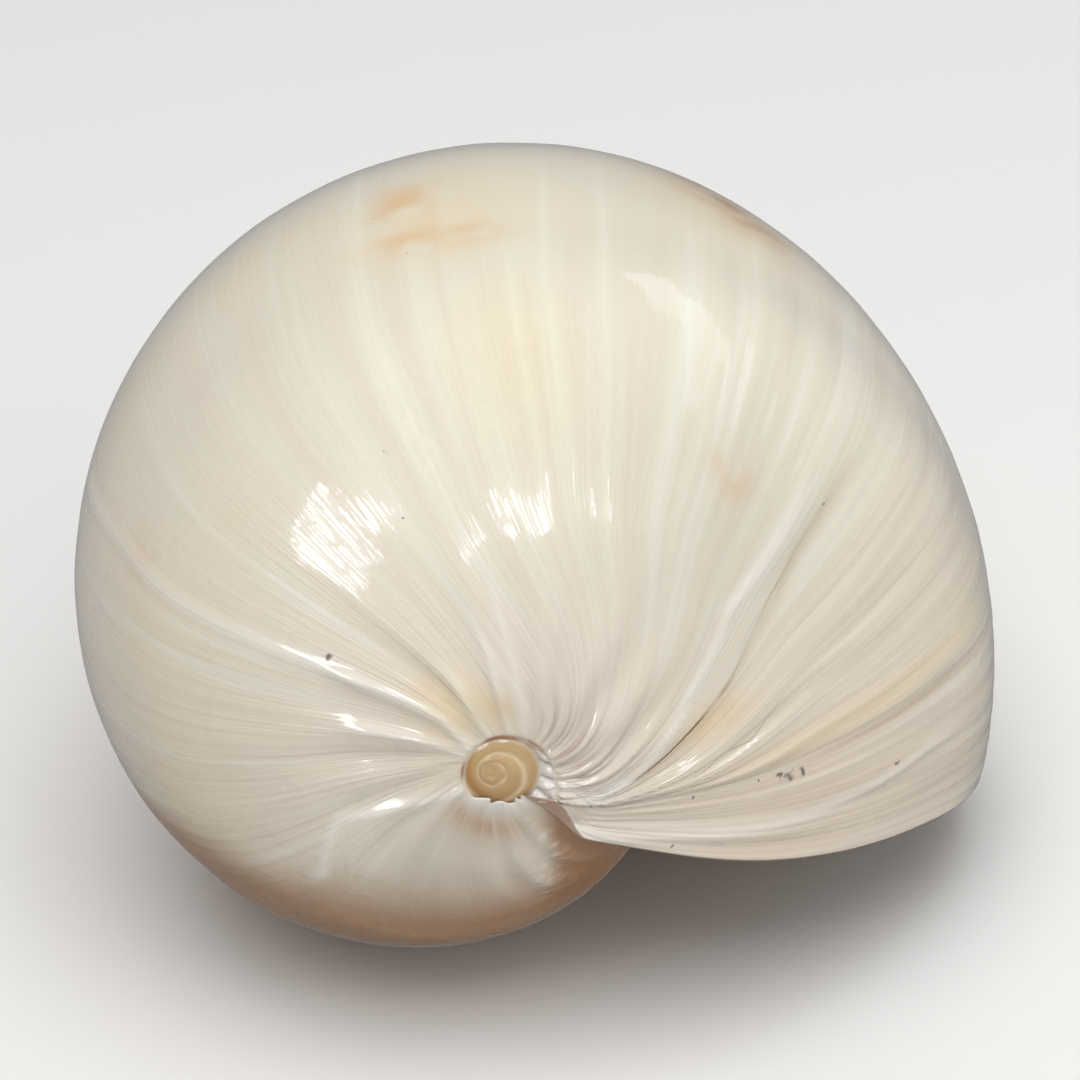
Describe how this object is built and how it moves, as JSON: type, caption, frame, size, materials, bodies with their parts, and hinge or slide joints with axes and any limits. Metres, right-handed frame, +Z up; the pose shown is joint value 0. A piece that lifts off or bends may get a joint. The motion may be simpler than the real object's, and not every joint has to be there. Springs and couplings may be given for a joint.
{
  "type": "melon shell",
  "caption": "Large glossy shell of a sea snail: a wide, rounded whorl coiled about a small domed apex, with a long open mouth, a thin lip and a folded columella.",
  "frame": {"origin": "Middle of the shell's bounding box, on the ground that it rests on.", "axes": "+Z is up. The shell lies on its mouth. Its coiling axis runs along Y, tipped 9 degrees down to the front end. The apex faces -Y and the front end, with the siphonal notch, faces +Y. The lip is on the +X side."},
  "size_m": [0.1462, 0.1824, 0.1173],
  "materials": {
    "shell": "polished ivory shell with tan stains"
  },
  "bodies": {
    "root": {"shell": "shell"}
  },
  "joints": []
}
